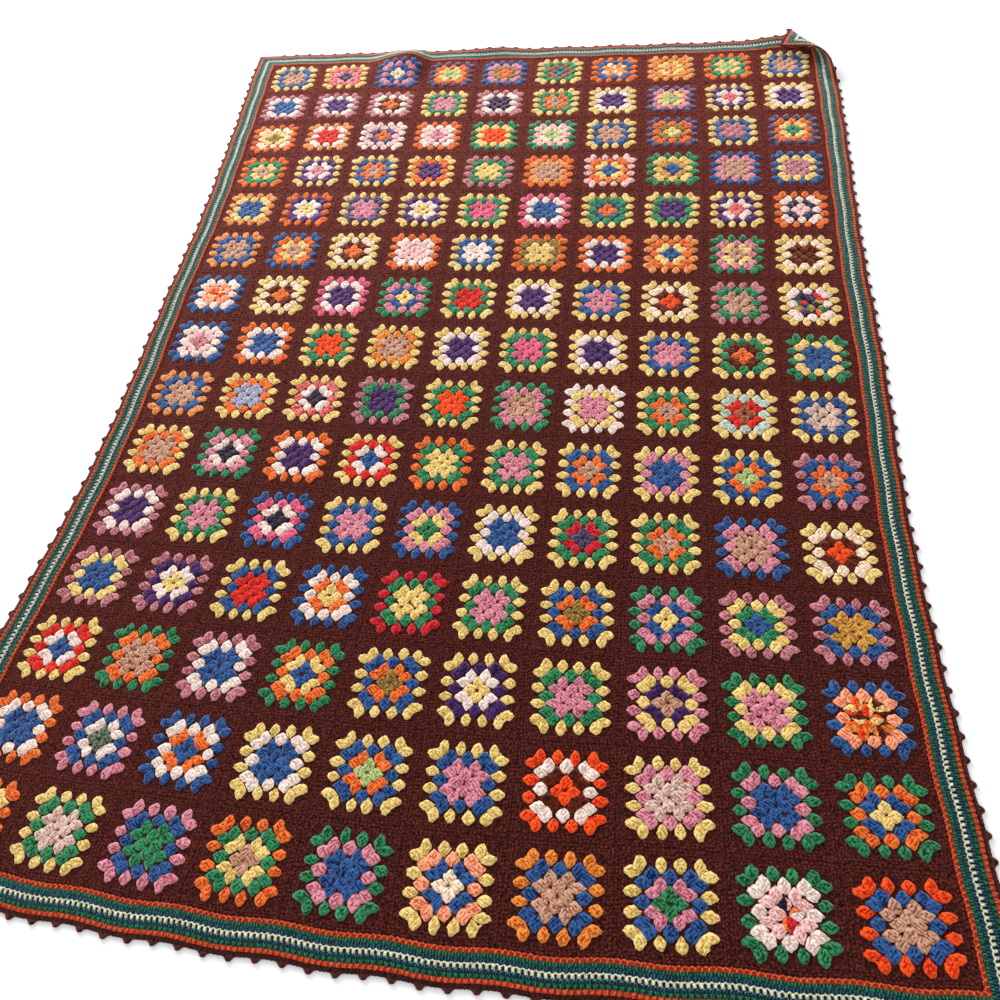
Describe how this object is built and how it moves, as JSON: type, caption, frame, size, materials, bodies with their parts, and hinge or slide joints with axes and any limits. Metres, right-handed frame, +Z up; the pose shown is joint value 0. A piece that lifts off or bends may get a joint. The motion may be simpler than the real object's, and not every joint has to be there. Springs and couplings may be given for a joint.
{
  "type": "crochet blanket",
  "caption": "Granny square crochet blanket with a striped border and a picot edging, laid out flat with its far right corner turned over.",
  "frame": {"origin": "middle of the bounding box's base, on the surface that the blanket lies on", "axes": "+X towards the blanket's right long edge seen from its near end, +Y along its length towards the far end, +Z up off the surface"},
  "size_m": [1.3734, 1.8908, 0.0389],
  "materials": {
    "dark_brown_yarn": "crocheted acrylic yarn, matte and slightly fuzzy, with coloured rounds inside each square",
    "border_yarn": "crocheted acrylic yarn in orange, green, teal and cream rounds",
    "edging_yarn": "crocheted acrylic yarn, matte dark brown"
  },
  "bodies": {
    "root": {"square_row_01": "dark_brown_yarn", "square_row_02": "dark_brown_yarn", "square_row_03": "dark_brown_yarn", "square_row_04": "dark_brown_yarn", "square_row_05": "dark_brown_yarn", "square_row_06": "dark_brown_yarn", "square_row_07": "dark_brown_yarn", "square_row_08": "dark_brown_yarn", "square_row_09": "dark_brown_yarn", "square_row_10": "dark_brown_yarn", "square_row_11": "dark_brown_yarn", "square_row_12": "dark_brown_yarn", "square_row_13": "dark_brown_yarn", "square_row_14": "dark_brown_yarn", "square_row_15": "dark_brown_yarn", "border_far": "border_yarn", "border_near": "border_yarn", "border_left": "border_yarn", "border_right": "border_yarn", "edging_far": "edging_yarn", "edging_near": "edging_yarn", "edging_left": "edging_yarn", "edging_right": "edging_yarn"}
  },
  "joints": []
}
